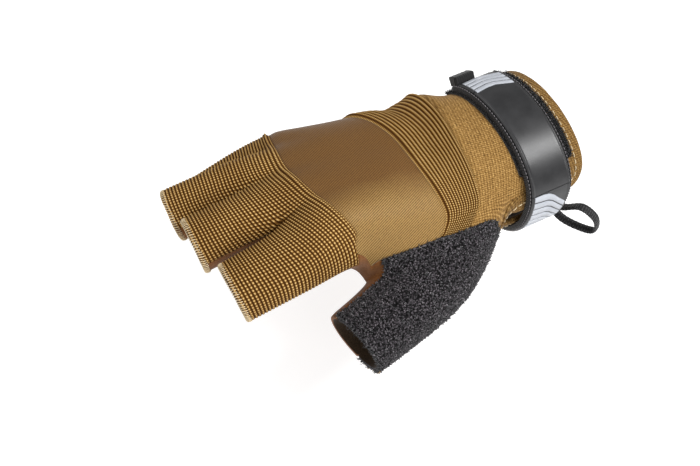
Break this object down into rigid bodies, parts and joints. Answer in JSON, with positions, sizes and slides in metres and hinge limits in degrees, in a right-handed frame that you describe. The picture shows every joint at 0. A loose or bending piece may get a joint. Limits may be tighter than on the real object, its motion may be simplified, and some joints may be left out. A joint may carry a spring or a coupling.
{
  "type": "half-finger work glove",
  "caption": "Right-hand half-finger glove in stretch cloth and suede, with a towelling thumb, open stubs, a wrist slit and a hook-and-loop wrist strap.",
  "frame": {"origin": "centre of the cuff opening, where the wrist comes out", "axes": "+Y out of the cuff along the forearm, +Z out of the back of the hand, +X to the thumb side"},
  "size_m": [0.1111, 0.1658, 0.0605],
  "materials": {
    "fine_knit": "fine tan knit over foam",
    "ribbed_knit": "tan ribbed stretch knit",
    "satin_stretch": "smooth brown stretch cloth",
    "suede": "brown brushed suede",
    "towelling": "charcoal looped pile",
    "loop_pile": "black fuzzy loop pile",
    "strap_base": "black stitched tape",
    "strap_face": "satin moulded face",
    "pale_face": "satin pale grey print",
    "webbing": "black woven tape"
  },
  "bodies": {
    "root": {"wrist_panel": "fine_knit", "ribbed_band": "ribbed_knit", "knuckle_panel": "satin_stretch", "finger_back": "ribbed_knit", "palm_panel": "suede", "thumb_panel": "towelling", "sidewall_little_ring": "suede", "sidewall_ring_middle": "suede", "sidewall_middle_index": "suede", "cuff_binding": "fine_knit", "loop_patch": "loop_pile", "strap": "strap_base", "strap_cover": "strap_face", "chevron_patch_upper": "pale_face", "chevron_patch_lower": "pale_face", "strap_end_tab": "strap_base", "pull_loop": "webbing"}
  },
  "joints": []
}
